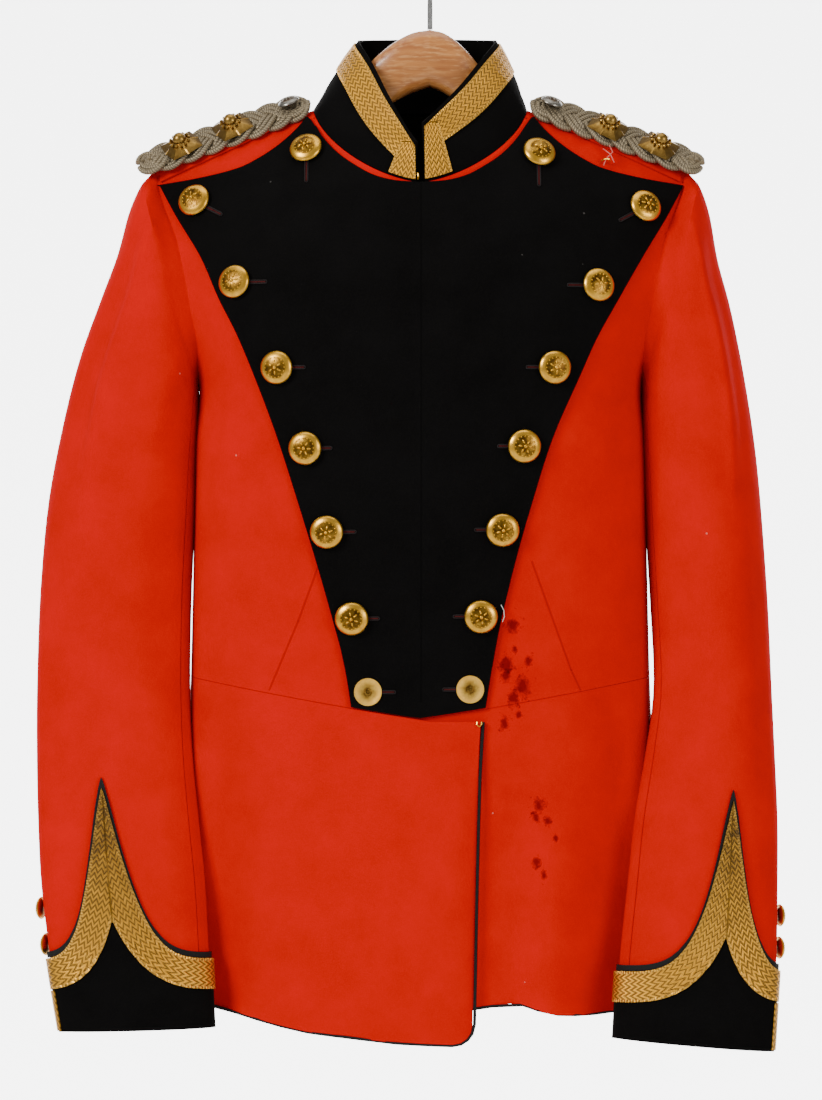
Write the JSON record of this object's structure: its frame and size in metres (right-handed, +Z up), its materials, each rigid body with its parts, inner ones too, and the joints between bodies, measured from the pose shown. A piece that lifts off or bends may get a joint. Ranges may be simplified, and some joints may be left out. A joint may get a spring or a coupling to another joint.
{
  "type": "military tunic on a wooden hanger",
  "caption": "Scarlet full-dress tunic with a black double-breasted plastron, stand collar, laced cuffs and shoulder cords, hung open-hemmed on a wooden hanger.",
  "frame": {"origin": "the inside top of the hanger's hook, where it rests on a rail", "axes": "+Z up along the hook's stem, the garment's front faces -Y, and the wearer's left lies towards +X"},
  "size_m": [0.5706, 0.2059, 0.8668],
  "materials": {
    "scarlet_cloth": "dense fulled wool, slightly napped",
    "black_cloth": "dense matt black facing wool",
    "black_braid": "matt black tracing braid and piping",
    "gold_lace": "woven metal-thread lace, satin",
    "gilt_brass": "polished gilt, slightly worn",
    "metal_cord": "plaited metal-thread cord, silvery gold",
    "varnished_wood": "orange-brown gloss varnish",
    "bright_steel": "bright wire"
  },
  "bodies": {
    "root": {"bodice_back_left": "scarlet_cloth", "bodice_back_right": "scarlet_cloth", "bodice_front_left": "scarlet_cloth", "bodice_front_right": "scarlet_cloth", "skirt_back": "scarlet_cloth", "skirt_front_left": "scarlet_cloth", "skirt_front_right": "scarlet_cloth", "top_sleeve_left": "scarlet_cloth", "top_sleeve_right": "scarlet_cloth", "under_sleeve_left": "scarlet_cloth", "under_sleeve_right": "scarlet_cloth", "shoulder_strap_left": "scarlet_cloth", "shoulder_strap_right": "scarlet_cloth", "plastron": "black_cloth", "collar": "black_cloth", "cuff_left": "black_cloth", "cuff_right": "black_cloth", "cuff_tracing_left": "black_braid", "cuff_tracing_right": "black_braid", "piping_back": "black_braid", "piping_front_left": "black_braid", "piping_front_right": "black_braid", "collar_lace": "gold_lace", "cuff_lace_left": "gold_lace", "cuff_lace_right": "gold_lace", "button_flat_left": "gilt_brass", "button_flat_right": "gilt_brass", "badge_left_1": "gilt_brass", "badge_left_2": "gilt_brass", "badge_right_1": "gilt_brass", "badge_right_2": "gilt_brass", "collar_hook": "gilt_brass", "waist_hook": "gilt_brass", "strap_loop": "gilt_brass", "cuff_button_left_1": "gilt_brass", "cuff_button_left_2": "gilt_brass", "cuff_button_right_1": "gilt_brass", "cuff_button_right_2": "gilt_brass", "shoulder_button_left": "gilt_brass", "shoulder_button_right": "gilt_brass", "button_left_1": "gilt_brass", "button_left_2": "gilt_brass", "button_left_3": "gilt_brass", "button_left_4": "gilt_brass", "button_left_5": "gilt_brass", "button_left_6": "gilt_brass", "button_left_7": "gilt_brass", "button_right_1": "gilt_brass", "button_right_2": "gilt_brass", "button_right_3": "gilt_brass", "button_right_4": "gilt_brass", "button_right_5": "gilt_brass", "button_right_6": "gilt_brass", "button_right_7": "gilt_brass", "shoulder_cord_left": "metal_cord", "shoulder_cord_right": "metal_cord", "hanger_wood": "varnished_wood", "hanger_hook": "bright_steel"}
  },
  "joints": []
}
